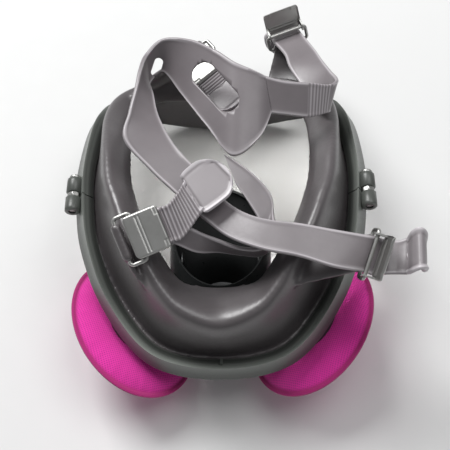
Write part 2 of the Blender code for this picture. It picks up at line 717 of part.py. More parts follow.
def make_lug(seal, buckle, start, end, column, lift, thin=20.0):
    """A rubber ear from the seal's wall to a hem around the ring's far bar, moulded in one with the seal."""
    rows = []
    hem = buckle.at(HEM_L, 0, 0)
    for i in range(7):
        share = i / 6
        turn = math.radians(start + (end - start) * share)
        root = seal_line(turn)[column] - Vector((math.cos(turn), math.sin(turn), 0)) * 0.4
        tip = hem + buckle.w * thin * (share - 0.5)
        middle = root.lerp(tip, 0.5) + Vector(lift)
        rows.append([Vector(p) for p in spline([list(root), list(middle), list(tip)], 4)])
    sheet = tube("lug_sheet", thick_grid(rows, SEAL_THICK / 2, False), SEAL_RUBBER, False, sheet=True)
    boolean(seal, sheet, "UNION", "MANIFOLD")
    roll = rod("lug_hem", hem - buckle.w * thin / 2, hem + buckle.w * thin / 2, HEM_OUTER, SEAL_RUBBER,
               20)
    boolean(seal, roll, "UNION", "MANIFOLD")


def cut_hem(seal, buckle):
    hem = buckle.at(HEM_L, 0, 0)
    bore = rod("hem_bore", hem - buckle.w * 25, hem + buckle.w * 25, WIRE + GAP, SEAL_RUBBER, 12)
    boolean(seal, bore, "DIFFERENCE", "MANIFOLD")


def wrap(buckle, steps=4):
    """Strap edges that go half way round the ring's bar, from below it to above it."""
    radius = WIRE + GAP + STRAP_THICK / 2
    made = []
    for step in range(steps + 1):
        turn = math.pi * (0.5 + step / steps)
        made.append(buckle.edges(radius * math.cos(turn), -radius * math.sin(turn)))
    return made


# The crown web's edges, from the loop at its left end to the start of the upper right strap.
CROWN_EDGES = [((-41, 137, 108), (-41, 127, 92)), ((-33, 144, 112), (-34, 133, 94)),
               ((-16, 141, 114), (-22, 115, 94)),
               ((-1, 131, 116), (-6, 89, 96)), ((10, 121, 117), (8, 68, 98)),
               ((20, 116, 116), (23, 78, 99)),
               ((27, 113, 114), (31, 95, 101))]


def make_crown():
    """A rubber web with a long slot over the upper left strap and a small hole by the loop."""
    crown = ribbon("harness_crown", CROWN_EDGES, STRAP_THICK + 0.4, HARNESS_RUBBER, 4)
    for name, centre, direction, half, radius in (
            ("crown_slot", Vector((-1.5, 111, 106)), Vector((0.62, -0.69, -0.365)), 11, 7),
            ("crown_hole", Vector((-37.5, 132, 101)), Vector((0.35, 0.6, 0.72)), 3.5, 2.6)):
        through = Vector((0.033, -0.468, 0.883))
        direction.normalize()
        side = through.cross(direction).normalized()
        loops = []
        for depth in (-25, 25):
            loop = []
            for turn in angles(16):
                shift = half if math.cos(turn) > 0 else -half
                loop.append(centre + through * depth + direction * (shift + radius * math.cos(turn))
                            + side * radius * math.sin(turn))
            loops.append(loop)
        boolean(crown, tube(name, loops, HARNESS_RUBBER, False), "DIFFERENCE")


def make_straps():
    """Four straps from the crown to their buckles, each with a free end and its pull tab."""
    far = HEM_L / 2 + 0.2
    lower_left = BUCKLES["lower_left"]
    lower_right = BUCKLES["lower_right"]
    upper_left = BUCKLES["upper_left"]
    upper_right = BUCKLES["upper_right"]
    wide = STRAP_WIDTH / 2

    ribbon("strap_lower_left", [
        ((10, 52, 93), (3, 72, 95)), ((17, 40, 92), (18, 59, 96)), ((22, 30, 91), (29, 46, 94)),
        ((24, 23, 88), (31, 33, 92)), ((28, 15, 86), (31, 18, 98)), ((22, 11, 85), (24, 9, 99)),
        ((12, 12, 85), (12, 9, 99)), ((0, 13, 86), (-1, 14, 100)), ((-12, 10, 92), (-13, 18, 105)),
        lower_left.edges(14, -2.4), lower_left.edges(7, -2.4), *wrap(lower_left)], STRAP_THICK,
        HARNESS_RUBBER, 2)
    ribbon("strap_tail_lower_left", [
        lower_left.edges(GAP, 2.4), lower_left.edges(9, 2.4), lower_left.edges(16, 2.4),
        lower_left.edges(22, 3.2), ((-7, 25, 112), (-18, 42, 114)), ((-5, 24, 113), (-18, 47, 115)),
        ((6, 33, 114), (-12, 52, 116)), ((11, 40, 114), (-5, 57, 116)),
        ((11, 47, 114.5), (3, 56, 115.5))], STRAP_THICK, HARNESS_RUBBER, 3)

    ribbon("strap_lower_right", [
        ((-42.7, 134.5, 109), (-42.5, 124.5, 93)), ((-46, 122, 112), (-41, 117, 97)),
        ((-48, 108, 112), (-39, 111, 100)),
        ((-51, 90, 112), (-35, 95, 101)), ((-53, 73, 110), (-27, 77, 103)),
        ((-38, 55, 106), (-19, 65, 104)),
        ((-26, 43, 104), (-12, 57, 103)), ((-15, 32, 103), (-3, 45, 103)),
        ((-5, 22, 103), (6, 34, 104)),
        ((7, 12, 104), (16, 26, 106)), ((24, 4, 106), (28, 21, 108)), ((43, -1, 107), (44, 18, 109)),
        ((61, -6, 104), (62, 15, 107)), (lower_right.at(far, wide, -GAP),
                                         lower_right.at(far, -wide, -GAP))],
        STRAP_THICK, HARNESS_RUBBER, 3)
    ribbon("strap_tail_lower_right", [
        (lower_right.at(far, wide, 0.15), lower_right.at(far, -wide, 0.15)),
        (lower_right.at(far, wide, 6), lower_right.at(far, -wide, 6)), ((88, -8, 99), (92, 11, 101)),
        ((94, -8, 99), (97, 11, 101)), ((99.5, -9, 101), (101.5, 12, 103)),
        ((101.5, -10, 106), (103, 13, 108)),
        ((104.5, -10, 109), (106, 13.5, 111)), ((107.5, -9, 106), (109, 12.5, 108)),
        ((108, -7, 99), (109.5, 10, 101)),
        ((107.5, -3, 95), (108.5, 6, 96))], STRAP_THICK, HARNESS_RUBBER, 3)

    ribbon("strap_upper_left", [
        ((4, 82, 92), (18, 92, 96)), ((0, 90, 84), (15, 100, 88)), upper_left.edges(42, -4),
        upper_left.edges(30, -3),
        upper_left.edges(15, -2.4), upper_left.edges(6, -2.4), *wrap(upper_left)], STRAP_THICK,
        HARNESS_RUBBER, 2)
    ribbon("strap_tail_upper_left", [
        upper_left.edges(GAP, 2.4), upper_left.edges(9, 2.4), upper_left.edges(16, 2.4),
        upper_left.edges(21, 2.8),
        upper_left.edges(26, 3, 24), upper_left.edges(34, 3, 26), upper_left.edges(41, 3, 18),
        upper_left.edges(43, 3, 8)], STRAP_THICK, HARNESS_RUBBER, 3)

    ribbon("strap_upper_right", [
        ((27.6, 112.8, 113.7), (31.6, 95, 100.8)), ((39, 111, 111), (40, 95, 99)),
        ((54, 113, 106), (53, 96, 95)),
        ((65, 116, 100), (63, 102, 90)), ((71, 121, 97), (66, 106, 86)), ((72, 128, 92), (62, 113, 78)),
        ((70, 137, 86), (54, 129, 76)), ((66, 150, 80), (45, 150, 73)),
        ((62, 166, 72.5), (42, 165, 69)),
        (upper_right.at(far, wide, -GAP), upper_right.at(far, -wide, -GAP))], STRAP_THICK,
        HARNESS_RUBBER, 3)
    ribbon("strap_tail_upper_right", [
        (upper_right.at(far, wide, 0.15), upper_right.at(far, -wide, 0.15)),
        *((upper_right.at(l, w, n), upper_right.at(l, -w, n)) for l, w, n in (
            (-4.6, 10, 7), (-6, 11.5, 14), (-11, 12.5, 19), (-19, 12, 20), (-25, 8, 18.5),
            (-27, 4, 18)))],
        STRAP_THICK, HARNESS_RUBBER, 3)


seal = make_seal()
lens = make_lens()
make_frame_half("upper_frame", 0, 1)
make_frame_half("lower_frame", math.pi, -1)
for side, name in ((-1, "left"), (1, "right")):
    make_frame_screw(side, name)
    make_frame_nut(side, name)
    make_port(lens, side, name)
    make_filter(side, name)
    make_cup_valve(side, name)
make_adapter(lens)
make_exhalation_valve()
make_exhalation_cover()
make_nose_cup()
# Lugs: the root's first and last angles on the seal, its column there, and the sheet's bulge.
for name, start, end, column, lift in (("lower_left", 241, 217, 6, (-1, -1, 1)),
                                       ("lower_right", 329, 300, 6, (0, 0, 0)),
                                       ("upper_left", 134, 115, 5, (0, 3, 3)),
                                       ("upper_right", 73, 48, 6, (0, 0, -2))):
    make_lug(seal, BUCKLES[name], start, end, column, lift)
for buckle in BUCKLES.values():
    cut_hem(seal, buckle)
    make_buckle(buckle)
make_crown()
make_straps()
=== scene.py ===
"""Full face respirator lying face down on a pale floor, seen from above the wearer's side.
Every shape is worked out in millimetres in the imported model's frame and becomes metres in its mesh."""

import math

import bmesh
import bpy
from mathutils import Matrix, Vector


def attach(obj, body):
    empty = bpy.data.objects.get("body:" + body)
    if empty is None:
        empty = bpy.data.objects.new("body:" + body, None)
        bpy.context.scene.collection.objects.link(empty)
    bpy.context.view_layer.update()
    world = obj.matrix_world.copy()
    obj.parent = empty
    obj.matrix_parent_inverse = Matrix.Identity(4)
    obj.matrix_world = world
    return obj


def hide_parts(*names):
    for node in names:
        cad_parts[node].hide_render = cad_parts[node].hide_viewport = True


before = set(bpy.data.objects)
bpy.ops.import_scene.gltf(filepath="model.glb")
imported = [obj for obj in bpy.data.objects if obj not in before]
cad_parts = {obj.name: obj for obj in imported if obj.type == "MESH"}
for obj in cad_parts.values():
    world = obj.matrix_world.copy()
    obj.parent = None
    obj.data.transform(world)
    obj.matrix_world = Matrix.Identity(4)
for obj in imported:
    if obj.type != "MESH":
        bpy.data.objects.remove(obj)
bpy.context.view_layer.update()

# Studio: the camera looks down at the open side of the mask. A soft window light comes in from beyond the
# forehead and the left, with a weaker fill from above on the right, over a pale floor.
scene = bpy.context.scene
scene.view_settings.view_transform = "Standard"
back = Vector((0.0327, -0.4683, 0.8829)).normalized()
right = Vector((0.9993, 0.0005, -0.0368)).normalized()
upward = back.cross(right).normalized()
camera = bpy.data.objects.new("camera", bpy.data.cameras.new("camera"))
camera.data.sensor_width = 36
camera.data.lens = 64.8
camera.data.shift_x = 0.0078
camera.data.shift_y = 0.0022
spot = (Vector((0, 50, 47)) + back * 500) / 1000
camera.matrix_world = Matrix.Translation(spot) @ Matrix((right, upward, back)).transposed().to_4x4()
scene.collection.objects.link(camera)
scene.camera = camera

world = bpy.data.worlds.new("studio")
world.use_nodes = True
world.node_tree.nodes["Background"].inputs["Color"].default_value = (0.97, 0.98, 1.0, 1)
world.node_tree.nodes["Background"].inputs["Strength"].default_value = 0.27
scene.world = world
for name, place, aim, size, power in (("window", (-0.72, 1.05, 1.5), (0, 0.05, 0.04), 0.9, 38.0),
                                      ("fill", (0.5, 0.25, 1.3), (0, 0.05, 0.04), 0.8, 6.5)):
    lamp = bpy.data.objects.new(name, bpy.data.lights.new(name, "AREA"))
    lamp.data.size = size
    lamp.data.energy = power
    lamp.location = place
    lamp.rotation_euler = (Vector(aim) - Vector(place)).to_track_quat("-Z", "Y").to_euler()
    scene.collection.objects.link(lamp)


def shader_of(name):
    """A new material with its node tree and its surface shader."""
    made = bpy.data.materials.new(name)
    made.use_nodes = True
    tree = made.node_tree
    return made, tree, tree.nodes["Principled BSDF"]


def wire(tree, kind, inputs=None, **settings):
    """A node with its settings, and its inputs linked or set by name or number."""
    node = tree.nodes.new(kind)
    for key, value in settings.items():
        setattr(node, key, value)
    for key, value in (inputs or {}).items():
        if isinstance(value, bpy.types.NodeSocket):
            tree.links.new(value, node.inputs[key])
        else:
            node.inputs[key].default_value = value
    return node


def sockets(tree, taken, given):
    """Names and kinds of what a node group takes in and gives out."""
    for way, kinds in (("INPUT", taken), ("OUTPUT", given)):
        for name, kind in kinds.items():
            tree.interface.new_socket(name, in_out=way, socket_type=f"NodeSocket{kind}")


# The grain that every moulded, plated or brushed surface shares, each with its own colours, scale and depth.
grain_group = bpy.data.node_groups.new("moulded_grain", "ShaderNodeTree")
sockets(grain_group,
        {"Dark": "Color", "Light": "Color", "Edge Colour": "Color", "Edge": "Float", "Scale": "Float",
         "Roughness": "Float", "Depth": "Float"},
        {"Colour": "Color", "Gloss": "Float", "Normal": "Vector"})
given = wire(grain_group, "NodeGroupInput").outputs
place = wire(grain_group, "ShaderNodeTexCoord").outputs["Object"]
broad = wire(grain_group, "ShaderNodeMath", {0: given["Scale"], 1: 0.06}, operation="MULTIPLY").outputs[0]
cloud = wire(grain_group, "ShaderNodeTexNoise", {"Vector": place, "Scale": broad,
                                                 "Detail": 4.0}).outputs["Fac"]
grain = wire(grain_group, "ShaderNodeTexNoise", {"Vector": place, "Scale": given["Scale"],
                                                 "Detail": 6.0}).outputs["Fac"]
colour = wire(grain_group, "ShaderNodeMix", {0: cloud, 6: given["Dark"], 7: given["Light"]},
              data_type="RGBA").outputs[2]
colour = wire(grain_group, "ShaderNodeMix", {0: given["Edge"], 6: colour, 7: given["Edge Colour"]},
              data_type="RGBA").outputs[2]
uneven = wire(grain_group, "ShaderNodeMapRange", {"Value": grain, "From Min": 0.3, "From Max": 0.7,
                                                  "To Min": -0.07, "To Max": 0.07}).outputs["Result"]
gloss = wire(grain_group, "ShaderNodeMath", {0: given["Roughness"], 1: uneven}).outputs[0]
bump = wire(grain_group, "ShaderNodeBump", {"Height": grain, "Strength": 0.35, "Distance": given["Depth"]})
wire(grain_group, "NodeGroupOutput", {"Colour": colour, "Gloss": gloss, "Normal": bump.outputs["Normal"]})


def grained(name, dark, light, rough, scale, depth, metallic=0.0, rim=None, bloom=0.0):
    """A moulded or brushed surface: cloudy colour, uneven gloss, a fine grain and, with rim, painted
    highlights where the rim value is high.
    Bloom is the pale waxy film of old rubber."""
    made, tree, shader = shader_of(name)
    feel = wire(tree, "ShaderNodeGroup", node_tree=grain_group)
    for key, value in (("Dark", (*dark, 1)), ("Light", (*light, 1)), ("Edge Colour", (*(rim or light), 1)),
                       ("Scale", scale), ("Roughness", rough), ("Depth", depth)):
        feel.inputs[key].default_value = value
    if rim:
        edge = wire(tree, "ShaderNodeAttribute", attribute_name="rim").outputs["Fac"]
        tree.links.new(edge, feel.inputs["Edge"])
    tree.links.new(feel.outputs["Colour"], shader.inputs["Base Color"])
    tree.links.new(feel.outputs["Gloss"], shader.inputs["Roughness"])
    tree.links.new(feel.outputs["Normal"], shader.inputs["Normal"])
    shader.inputs["Metallic"].default_value = metallic
    shader.inputs["Coat Weight"].default_value = bloom
    shader.inputs["Coat Roughness"].default_value = 0.32
    return made


floor_mesh = bpy.data.meshes.new("floor")
floor_mesh.from_pydata([(-3, -3, 0), (3, -3, 0), (3, 3, 0), (-3, 3, 0)], [], [(0, 1, 2, 3)])
paper_look = grained("floor_paper", (0.66, 0.665, 0.66), (0.72, 0.72, 0.715), 0.8, 60, 0.00005)
floor_mesh.materials.append(paper_look)
floor = bpy.data.objects.new("floor", floor_mesh)
scene.collection.objects.link(floor)

# Lens: one clear moulding bent round a vertical line, sloping to the forehead and folded up at the chin.
# It is polished, faintly warm, and ends inside the frame's channel.
LENS_THICK = 2.4
LENS_INSET = 3.5
LENS_RADIUS = 100
LENS_NOSE_Z = 28
LENS_SLOPE = -0.1375
FOLD_START_Y = 8
FOLD_CURVE = 0.0034
ADAPTER_HOLE = 17.0
PORT_HOLE = 14.3
PORT_X = 41.2
PORT_Y = -1.2
SPLIT_Y = 59.5
OUTLINE = [(0, 161), (28, 160.5), (50, 158), (68, 150.5), (77, 141), (82, 128), (84.5, 115), (86, 95),
           (86.5, 76), (85.5, 59.5), (82.5, 35), (77, 15.5), (71, 1), (62, -14), (50, -29), (37.5, -38),
           (20, -42.8), (0, -44)]


def solid(name, points, faces, look, slot, body="mask", stands_for=(), shades=None):
    """A smooth piece from points in millimetres that rides on a body; shades gives each point's rim value."""
    mesh = bpy.data.meshes.new(name)
    mesh.from_pydata([Vector(p) * 0.001 for p in points], [], faces)
    if shades:
        mesh.attributes.new("rim", "FLOAT", "POINT").data.foreach_set("value", shades)
    work = bmesh.new()
    work.from_mesh(mesh)
    bmesh.ops.remove_doubles(work, verts=work.verts, dist=1e-7)
    bmesh.ops.recalc_face_normals(work, faces=work.faces)
    work.to_mesh(mesh)
    work.free()
    mesh.shade_smooth()
    mesh.set_sharp_from_angle(angle=math.radians(50))
    mesh.materials.append(look)
    made = bpy.data.objects.new(name, mesh)
    scene.collection.objects.link(made)
    if slot:
        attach(made, body)
    if stands_for:
        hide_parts(*stands_for)
    return made


def skin(loops, closed):
    """Points and faces over equal loops; the last meets the first, or both ends are capped."""
    count = len(loops[0])
    points = [p for loop in loops for p in loop]
    faces = []
    for i in range(len(loops) if closed else len(loops) - 1):
        here = i * count
        there = (i + 1) % len(loops) * count
        for j in range(count):
            k = (j + 1) % count
            faces.append((here + j, here + k, there + k, there + j))
    if not closed:
        faces.append(tuple(range(count))[::-1])
        faces.append(tuple(range(len(points) - count, len(points))))
    return points, faces


def add_skin(points, faces, loops, closed=False):
    """Adds the skin of more loops to a piece's points and faces."""
    more, quads = skin(loops, closed)
    faces += [tuple(v + len(points) for v in quad) for quad in quads]
    points += more


def spline(points, per, closed=False):
    """Catmull-Rom points through vectors of any size, per of them for each span."""
    made = []
    count = len(points)
    for i in range(count if closed else count - 1):
        if closed:
            p = [points[(i + k) % count] for k in (-1, 0, 1, 2)]
        else:
            p = [points[max(0, min(count - 1, i + k))] for k in (-1, 0, 1, 2)]
        for step in range(per):
            t = step / per
            made.append([0.5 * (2 * b + (c - a) * t + (2 * a - 5 * b + 4 * c - d) * t * t
                                + (3 * b - a - 3 * c + d) * t ** 3) for a, b, c, d in zip(*p)])
    if not closed:
        made.append(list(points[-1]))
    return made


def bake(piece):
    """Makes what a piece's modifiers do a part of its mesh."""
    bpy.context.view_layer.update()
    mesh = bpy.data.meshes.new_from_object(piece.evaluated_get(bpy.context.evaluated_depsgraph_get()))
    piece.modifiers.clear()
    piece.data = mesh


def cut_through(piece, rings):
    """Cuts the solid between two rings of points out of a piece."""
    cutter = solid("cutter", *skin(rings, False), piece.data.materials[0], None)
    piece.modifiers.new("cut", "BOOLEAN").object = cutter
    bake(piece)
    bpy.data.objects.remove(cutter)


def lens_height(x, y):
    """The height of the lens's middle: a cylinder, sloping to the forehead, whose lower edge folds up."""
    fold = max(0.0, FOLD_START_Y - y)
    side = min(abs(x), LENS_RADIUS - 2)
    bend = LENS_RADIUS - math.sqrt(LENS_RADIUS ** 2 - side ** 2)
    return LENS_NOSE_Z + LENS_SLOPE * y + FOLD_CURVE * fold ** 2 + bend


def lens_normal(x, y):
    slope_x = (lens_height(x + 0.05, y) - lens_height(x - 0.05, y)) / 0.1
    slope_y = (lens_height(x, y + 0.05) - lens_height(x, y - 0.05)) / 0.1
    return Vector((-slope_x, -slope_y, 1)).normalized()


def lens_point(x, y, offset=0.0):
    return Vector((x, y, lens_height(x, y))) + lens_normal(x, y) * offset


def around(half):
    """A closed curve through right-hand points and their mirror images, as sorted (angle, point) pairs."""
    ring = [list(p) for p in half] + [[-p[0], *p[1:]] for p in reversed(half) if p[0] != 0]
    made = [(math.atan2(p[1] - SPLIT_Y, p[0]) % (2 * math.pi), p) for p in spline(ring, 24, True)]
    return sorted(made, key=lambda pair: pair[0])


def at_angle(curve, angle):
    turn = angle % (2 * math.pi)
    after = next((i for i, pair in enumerate(curve) if pair[0] > turn), 0)
    low, high = curve[after - 1], curve[after]
    share = ((turn - low[0]) % (2 * math.pi)) / ((high[0] - low[0]) % (2 * math.pi))
    return Vector([a + (b - a) * share for a, b in zip(low[1], high[1])])


outline_curve = around(OUTLINE)


def rim_point(angle, inset, offset):
    """A point at this inset from the frame's outer edge along the lens, and this far off the lens."""
    here = at_angle(outline_curve, angle)
    along = (at_angle(outline_curve, angle + 0.02) - at_angle(outline_curve, angle - 0.02)).normalized()
    inward = -Vector((math.cos(angle), math.sin(angle)))
    square = abs(along.cross(inward))
    rise = (lens_height(*(here + inward)) - lens_height(*here)) * square
    flat = here + inward * inset / (square * math.sqrt(1 + rise ** 2))
    return lens_point(flat.x, flat.y, offset)


def clear_plastic():
    """Clear polycarbonate that lets light through to what lies under it, also for shadows."""
    made, tree, shader = shader_of("clear_lens")
    place = wire(tree, "ShaderNodeTexCoord").outputs["Object"]
    haze = wire(tree, "ShaderNodeTexNoise", {"Vector": place, "Scale": 18.0, "Detail": 5.0})
    rough = wire(tree, "ShaderNodeMapRange", {"Value": haze.outputs["Fac"], "To Min": 0.02, "To Max": 0.09})
    shader.inputs["Base Color"].default_value = (0.99, 0.985, 0.97, 1)
    shader.inputs["Transmission Weight"].default_value = 0.74
    shader.inputs["IOR"].default_value = 1.2
    tree.links.new(rough.outputs["Result"], shader.inputs["Roughness"])
    clear = wire(tree, "ShaderNodeBsdfTransparent", {"Color": (0.99, 0.985, 0.975, 1)})
    ray = wire(tree, "ShaderNodeLightPath")
    both = wire(tree, "ShaderNodeMixShader", {0: ray.outputs["Is Shadow Ray"], 1: shader.outputs[0],
                                              2: clear.outputs[0]})
    tree.links.new(both.outputs[0], tree.nodes["Material Output"].inputs["Surface"])
    return made


lens_look = clear_plastic()
centre = Vector((0, SPLIT_Y))
loops = []
for step in range(192):
    edge = rim_point(2 * math.pi * step / 192, LENS_INSET, 0).xy
    rows = [centre.lerp(edge, 0.02 + 0.98 * i / 26) for i in range(27)]
    loops.append([lens_point(p.x, p.y, LENS_THICK / 2) for p in rows]
                 + [lens_point(p.x, p.y, -LENS_THICK / 2) for p in reversed(rows)])
points, faces = skin(loops, True)
lens = solid("lens_shell", points, faces, lens_look, "clear_lens", stands_for=("lens",))

# Openings in the lens: one for the adapter at the mouth and one for each side port, cut with a little room.
port_axis = Vector((0.46, -0.22, -0.86)).normalized()
port_z = lens_height(PORT_X, PORT_Y)
for x, y, z, axis, radius in ((0, 0, LENS_NOSE_Z, Vector((0, 0, 1)), ADAPTER_HOLE),
                              (PORT_X, PORT_Y, port_z, port_axis, PORT_HOLE),
                              (-PORT_X, PORT_Y, port_z, Vector((-port_axis.x, *port_axis.yz)), PORT_HOLE)):
    across = axis.orthogonal().normalized()
    rings = []
    for depth in (-30, 30):
        rings.append([Vector((x, y, z)) + axis * depth
                      + (across * math.cos(t) + axis.cross(across) * math.sin(t)) * radius
                      for t in (2 * math.pi * k / 72 for k in range(72))])
    cut_through(lens, rings)

# Frame: two dark plastic halves meet at the temples, each a channel round the lens's edge and the seal's lip.
# The outer edges are rounded, and a shallow step runs round the face towards the wearer. The rim values paint
# a highlight on the rounded edges, the bosses' corners and the back face's outer band, and leave the channel
# and the groove in the dark base colour as painted shade.
# The rim colour is the painted highlight on the frame's edges and back band.
frame_look = grained("frame_plastic", (0.018, 0.02, 0.018), (0.032, 0.035, 0.031), 0.38, 900, 0.00006,
                     rim=(0.2, 0.215, 0.198))
BOSS_RADIUS = 4.6
BOSS_LENGTH = 11.1
BOSS_OUT = 2.4
BOSS_RISE = 3
SCREW_RADIUS = 1.9
SPLIT_GAP = 0.3
temple = rim_point(0, 0, 0)
boss_hearts = {side: Vector((side * (temple.x + BOSS_OUT), SPLIT_Y, temple.z + BOSS_RISE))
               for side in (-1, 1)}


def turned(heart, profile, steps=72):
    """Loops of a piece turned about a line along y; profile gives its (radius, height) pairs at a turn."""
    loops = []
    for k in range(steps):
        t = 2 * math.pi * k / steps
        loops.append([heart + Vector((math.cos(t) * r, h, math.sin(t) * r)) for r, h in profile(t)])
    return loops


def frame_loop(angle):
    """The channel's section, with rounded outer corners, and the rim value of each point."""
    edge = rim_point(angle, 0, 0)
    rise = (lens_normal(edge.x, edge.y) + Vector((0, 0, 1))).normalized()
    low, high = -1.5, 4.4
    front = edge - rise * 5.2
    back_edge = edge + rise * 7.4
    front_in = rim_point(angle, 7, low - 2)
    back_in = rim_point(angle, 7, high + 2.2)
    groove = back_edge.lerp(back_in, 0.55)
    drop = (back_edge - edge).normalized() * 0.5
    # Each point's value paints light on the frame: a highlight on the rounded edges and the back face's outer
    # band, painted shade in the channel and the groove.
    line = [(front.lerp(back_edge, 0.1), 0.2), (front.lerp(front_in, 0.02) - rise * -0.2, 0.5),
            (front.lerp(front_in, 0.14), 0.2), (front.lerp(front_in, 0.9), 0), (front_in, 0.4),
            (rim_point(angle, 7.1, low - 1.5), 0.2), (rim_point(angle, 7, low), 0),
            (rim_point(angle, 3.4, low), 0), (rim_point(angle, 3.2, low + 0.3), 0),
            (rim_point(angle, 3.2, high - 0.3), 0), (rim_point(angle, 3.4, high), 0),
            (rim_point(angle, 7, high), 0), (rim_point(angle, 7.1, high + 1.7), 0),
            (back_in.lerp(back_edge, 0.06), 0.3), (back_in.lerp(back_edge, 0.2), 0.05),
            (groove - drop * 0.2, 0.1), (groove.lerp(back_edge, 0.2) - drop * 1.2, 0.4),
            (back_edge.lerp(groove, 0.4) - drop * 1.2, 0.9), (back_edge.lerp(back_in, 0.12), 1),
            (back_edge.lerp(edge, 0.03), 1), (back_edge.lerp(edge, 0.12), 0.9), (edge, 0.35)]
    return [p for p, _ in line], [v for _, v in line]


for name, start, upper in (("upper_frame", 0.0, 1), ("lower_frame", math.pi, -1)):
    slack = SPLIT_GAP / temple.x
    loops = []
    shades = []
    for i in range(181):
        loop, values = frame_loop(start + slack + (math.pi - 2 * slack) * i / 180)
        loops.append(loop)
        shades += values
    points, faces = skin(loops, False)
    boss = [(SCREW_RADIUS + 0.3, 1.6), (BOSS_RADIUS - 0.5, 1.6), (BOSS_RADIUS, 2.1), (BOSS_RADIUS, 9),
            (BOSS_RADIUS - 0.1, BOSS_LENGTH - 0.5), (BOSS_RADIUS - 0.6, BOSS_LENGTH),
            (SCREW_RADIUS + 0.3, BOSS_LENGTH)]
    for heart in boss_hearts.values():
        add_skin(points, faces, turned(heart, lambda t: [(r, upper * h) for r, h in boss], 48), True)
        # The bosses' corner edges carry a painted highlight.
        shades += [0.25, 0.7, 0.25, 0.25, 0.25, 0.7, 0.25] * 48
    # The moulding gate's small stub stands on the lower half's face at the chin.
    if upper < 0:
        gate = [rim_point(-math.pi / 2, *spot) for spot in ((1.6, 6.2), (6.2, 6.4), (6.2, 8.2), (1.6, 8.0))]
        add_skin(points, faces, [[p + Vector((x, 0, 0)) for p in gate] for x in (-0.8, 0.8)])
        shades += [0.3] * 8
    solid(f"{name}_shell", points, faces, frame_look, "frame_plastic", stands_for=(name,), shades=shades)

# Frame screws and nuts: bright plated steel, the heads domed and cross-recessed, the nuts six-sided. Each
# screw runs through both halves' bosses and draws them together on its nut.
steel_look = grained("bright_steel", (0.38, 0.38, 0.365), (0.5, 0.5, 0.485), 0.4, 1400, 0.00002, metallic=1.0)


def screw_section(t):
    """The screw from its tip to its domed head; the cross recess is deepest where the sine is nil."""
    recess = max(0.0, 1 - abs(math.sin(2 * t)) * 3.2)
    return [(0.01, -10.2), (SCREW_RADIUS, -10.2), (SCREW_RADIUS, 11.4), (3.2, 11.4), (3.5, 11.7), (3.5, 12.7),
            (3.1, 13.3), (2.2, 13.7), (1.9, 13.8 - 0.3 * recess), (0.9, 13.9 - 1.3 * recess), (0.01, 12.6)]


def nut_section(t):
    """A six-sided nut whose corners are turned down to a circle at both faces."""
    flat = 3.35 / math.cos((t + math.pi / 6) % (math.pi / 3) - math.pi / 6)
    return [(SCREW_RADIUS + 0.3, -1.3), (min(flat, 3.5), -1.3), (flat, -1.05), (flat, 1.05),
            (min(flat, 3.5), 1.3), (SCREW_RADIUS + 0.3, 1.3)]


for side, name in ((-1, "left"), (1, "right")):
    for piece, section, node in (("screw", screw_section, "frame_screw"), ("nut", nut_section, "frame_nut")):
        solid(f"{piece}_{name}", *skin(turned(boss_hearts[side], section), True), steel_look, "steel",
              stands_for=(f"{node}_{name}",))

# Face seal: a thick rubber moulding whose wall rises from the frame to a rolled crest and turns back in to a
# thin free edge. Four ears grow from its wall, each ending in a hem around a buckle's wire ring.
seal_look = grained("seal_rubber", (0.055, 0.048, 0.05), (0.1, 0.09, 0.094), 0.42, 500, 0.00012,
                    bloom=0.6)
CREST = [(0, 157, 54), (30, 156.5, 55), (50, 152, 57), (64, 142, 61), (70.5, 129, 66), (71.5, 112, 74),
         (70, 97, 81), (67.5, 78, 88), (64.5, 58, 93), (59.5, 43, 96), (52, 22.5, 97), (40.5, 2, 95),
         (32, -11.5, 90), (21, -22, 85), (0, -28.5, 81)]
FLANGE = [(0, 146, 45), (28, 146, 45.5), (43, 143.5, 47), (51, 131, 53), (53.5, 115, 62), (54, 100, 69.5),
          (54, 85, 75), (52, 64, 80), (48, 48, 82.5), (43.5, 35, 83), (36, 20, 81), (23, 1.5, 75.5),
          (11, -1.6, 72.5), (0, -2.2, 71.5)]
crest_curve = around(CREST)
flange_curve = around(FLANGE)


def seal_line(angle, per):
    """The middle line of the seal's section, from the clamped lip over the crest to the free edge."""
    lip = rim_point(angle, LENS_INSET, 2.8)
    root = rim_point(angle, 12, 2.8)
    crest = at_angle(crest_curve, angle)
    free = at_angle(flange_curve, angle)
    outward = Vector((math.cos(angle), math.sin(angle), 0))
    wall = root.lerp(crest, 0.5) + outward * 0.3
    tuck = crest.lerp(free, 0.5) + Vector((0, 0, 2)) - outward
    bend = root + (Vector((0, 0, 1)) - outward) * 1.6
    return [lip, root] + [Vector(p) for p in spline([list(p) for p in (bend, wall, crest, tuck, free)], per)]


def thick(grid, half, closed):
    """Both skins of a sheet of points as loops round each row; half may be one number or a list by column."""
    rows = len(grid)
    last = len(grid[0]) - 1
    loops = []
    for i in range(rows):
        upper = []
        lower = []
        for j in range(last + 1):
            ahead = grid[(i + 1) % rows] if closed else grid[min(i + 1, rows - 1)]
            behind = grid[i - 1] if closed else grid[max(i - 1, 0)]
            across = grid[i][min(j + 1, last)] - grid[i][max(j - 1, 0)]
            normal = (ahead[j] - behind[j]).cross(across).normalized()
            size = half[j] if isinstance(half, list) else half
            upper.append(grid[i][j] + normal * size)
            lower.append(grid[i][j] - normal * size)
        loops.append(upper + lower[::-1])
    return loops


class Buckle:
    """Axes of one buckle: along the strap's free end, across it, and out of its plate."""

    def __init__(self, bar, along, out, rear):
        self.rear = rear
        self.bar = Vector(bar)
        self.l = Vector(along).normalized()
        self.n = (Vector(out) - self.l * Vector(out).dot(self.l)).normalized()
        self.w = self.n.cross(self.l)

    def at(self, l, w, n):
        return self.bar + self.l * l + self.w * w + self.n * n

    def edges(self, l, n, width=20):
        return self.at(l, -width / 2, n), self.at(l, width / 2, n)


